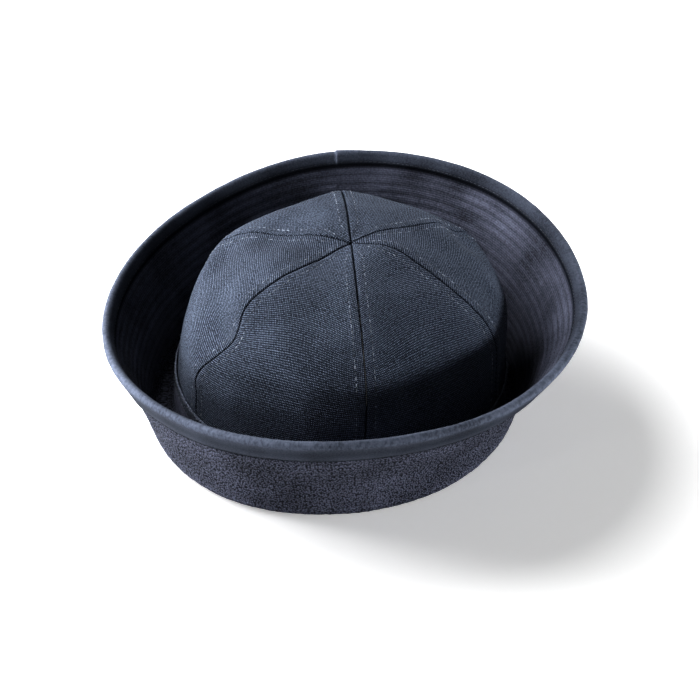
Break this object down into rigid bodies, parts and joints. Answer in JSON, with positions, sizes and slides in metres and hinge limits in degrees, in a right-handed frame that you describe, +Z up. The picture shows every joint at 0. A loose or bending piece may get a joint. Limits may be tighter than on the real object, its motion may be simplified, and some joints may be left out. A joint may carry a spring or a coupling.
{
  "type": "sailor cap",
  "caption": "Soft round cap with a panelled domed crown and a quilted brim turned up all round, its rim bound with a folded strip.",
  "frame": {"origin": "on the surface that the cap rests on, under the middle of the box that it fills", "axes": "+Z up out of the crown, -Y towards the wearer's forehead, +X towards the wearer's left ear"},
  "size_m": [0.276, 0.2768, 0.1143],
  "materials": {
    "crown_denim": "indigo denim, fine twill lines, matte with a soft nap",
    "brim_denim": "indigo denim quilted with close rows of stitches, puckered, matte",
    "binding_denim": "indigo denim strip folded over the rim, slightly worn and paler along its edge",
    "tape_denim": "narrow indigo denim tape, edge-stitched, paler at its edge",
    "thread": "navy sewing thread, matte"
  },
  "bodies": {
    "root": {"crown_gore_1": "crown_denim", "crown_gore_2": "crown_denim", "crown_gore_3": "crown_denim", "crown_gore_4": "crown_denim", "crown_gore_5": "crown_denim", "crown_gore_6": "crown_denim", "join_tape": "tape_denim", "brim_stand": "brim_denim", "brim_fold": "brim_denim", "brim_inner_ply": "brim_denim", "brim_outer_ply": "brim_denim", "rim_binding": "binding_denim"}
  },
  "joints": []
}
